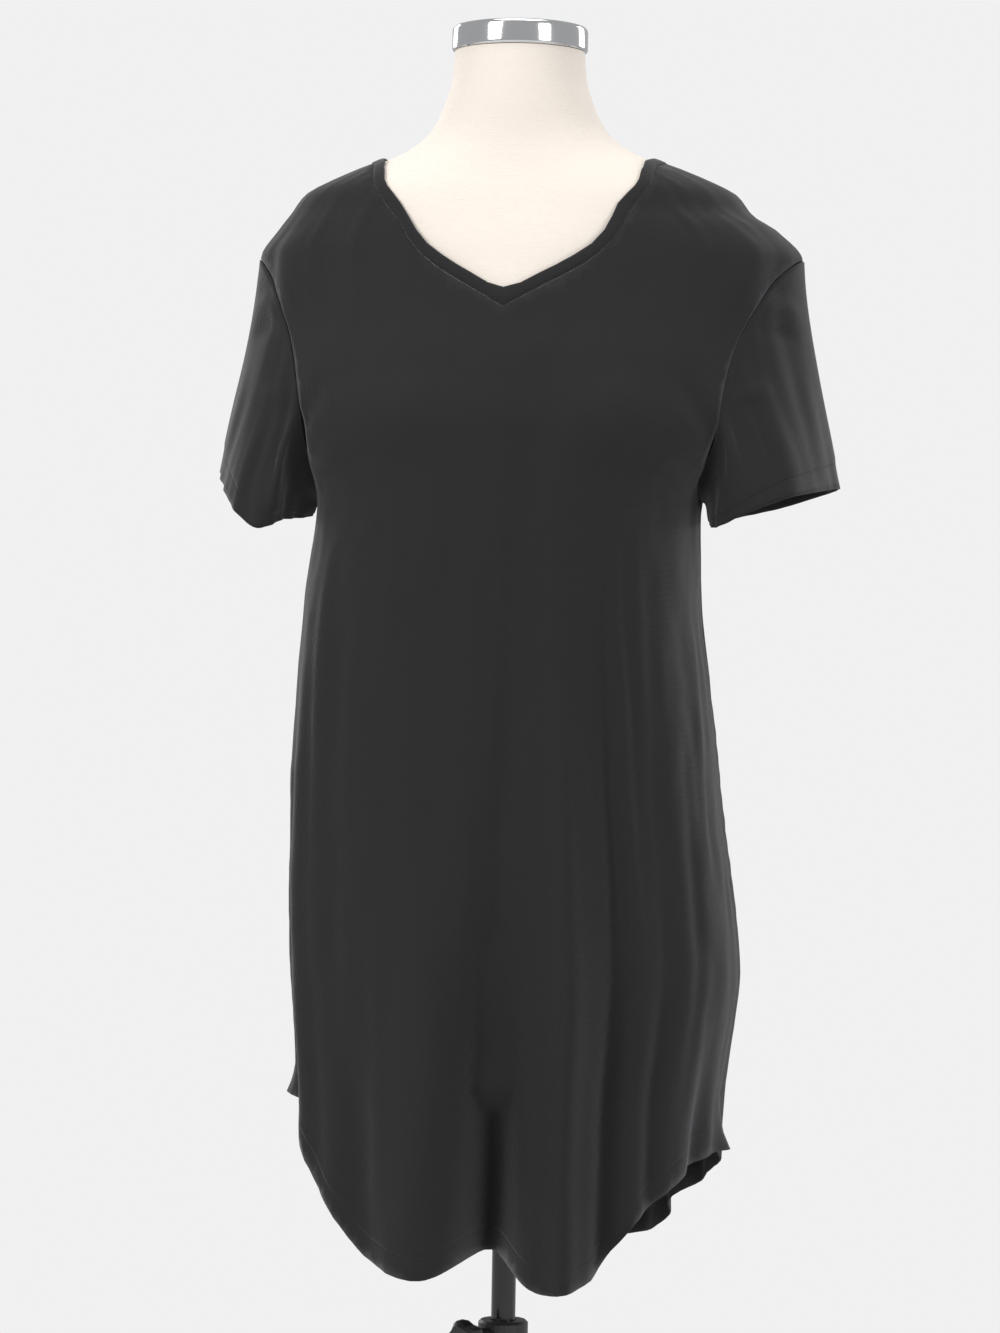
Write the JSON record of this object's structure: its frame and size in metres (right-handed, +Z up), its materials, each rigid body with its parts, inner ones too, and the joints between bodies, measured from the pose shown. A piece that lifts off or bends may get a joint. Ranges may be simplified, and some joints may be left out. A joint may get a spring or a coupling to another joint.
{
  "type": "nightshirt on a limbless dress form with its stand",
  "caption": "Short-sleeved V-neck jersey nightshirt with a curved shirt-tail hem, hanging on a limbless dress form that stands on a height-adjustable pole and round base.",
  "frame": {"origin": "centre of the underside of the stand's base, on the pole's axis", "axes": "+Z up along the pole, -Y the way the shirt's front faces, +X the viewer's right"},
  "size_m": [0.4894, 0.38, 1.5305],
  "materials": {
    "black_jersey": "soft matte knit",
    "cream_cover": "matte stretched cover",
    "chrome_cap": "polished",
    "black_steel": "gloss black",
    "black_plastic": "satin"
  },
  "bodies": {
    "stand": {"stand_base": "black_steel", "lower_tube": "black_steel", "clamp_collar": "black_plastic"},
    "dressed_form": {"riser_pole": "black_steel", "form_flange": "black_steel", "dress_form": "cream_cover", "neck_cap": "chrome_cap", "front_panel": "black_jersey", "back_panel": "black_jersey", "neckband": "black_jersey", "left_sleeve": "black_jersey", "right_sleeve": "black_jersey"},
    "knob": {"clamp_knob": "black_plastic"}
  },
  "joints": [
    {"name": "height_slide", "type": "slide", "parent": "stand", "child": "dressed_form", "axis": [0, 0, 1], "range_m": [-0.12, 0.18]},
    {"name": "knob_turn", "type": "hinge", "parent": "stand", "child": "knob", "pos_m": [-0.02294, -0.03277, 0.514], "axis": [-0.5736, -0.8192, 0], "range_deg": [0, 180]}
  ]
}
